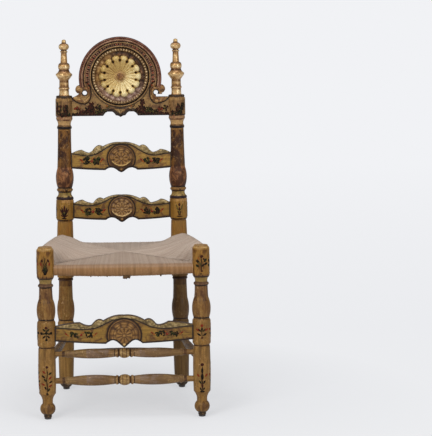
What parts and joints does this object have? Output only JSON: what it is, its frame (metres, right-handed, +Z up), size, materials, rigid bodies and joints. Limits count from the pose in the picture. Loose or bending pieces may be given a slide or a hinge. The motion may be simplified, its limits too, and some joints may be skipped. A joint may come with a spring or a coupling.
{
  "type": "carved and painted side chair",
  "caption": "Carved, turned and painted wooden side chair with a round crest rosette, scrolled back rails and a woven rush seat; it stands on the floor for one person to sit on.",
  "frame": {"origin": "on the floor, under the middle of the chair's box", "axes": "+X to the right as seen from in front, across the seat; +Y towards the back; +Z up"},
  "size_m": [0.5022, 0.4654, 1.0827],
  "materials": {
    "painted_posts": "aged paint, ochre blocks and dark marbled shafts, satin",
    "painted_legs": "aged ochre paint with dark rings, satin",
    "gilt_turnings": "worn gilding over wood",
    "painted_crest": "aged ochre and oxblood paint, satin",
    "gilt_rosette": "pale gilding with dark recesses",
    "painted_boards": "aged ochre paint with dark outlines, satin",
    "turned_stretchers": "worn grey-brown paint",
    "bare_wood": "bare, oiled by age",
    "rush": "twisted rush cord, matt",
    "straw": "loose straw, matt",
    "iron": "dark, dull"
  },
  "bodies": {
    "root": {"left_back_post": "painted_posts", "right_back_post": "painted_posts", "left_front_leg": "painted_legs", "right_front_leg": "painted_legs", "left_finial": "gilt_turnings", "right_finial": "gilt_turnings", "crest_rail": "painted_crest", "crest_rosette": "gilt_rosette", "rosette_button": "gilt_rosette", "upper_back_rail": "painted_boards", "lower_back_rail": "painted_boards", "carved_front_stretcher": "painted_boards", "upper_front_stretcher": "turned_stretchers", "lower_front_stretcher": "turned_stretchers", "left_side_stretcher": "turned_stretchers", "right_side_stretcher": "turned_stretchers", "rear_stretcher": "turned_stretchers", "front_seat_rail": "bare_wood", "rear_seat_rail": "bare_wood", "left_seat_rail": "bare_wood", "right_seat_rail": "bare_wood", "crest_rail_pegs": "bare_wood", "upper_rail_pegs": "bare_wood", "lower_rail_pegs": "bare_wood", "front_stretcher_pegs": "bare_wood", "rush_seat": "rush", "seat_stuffing": "straw", "foot_glides": "iron"}
  },
  "joints": []
}
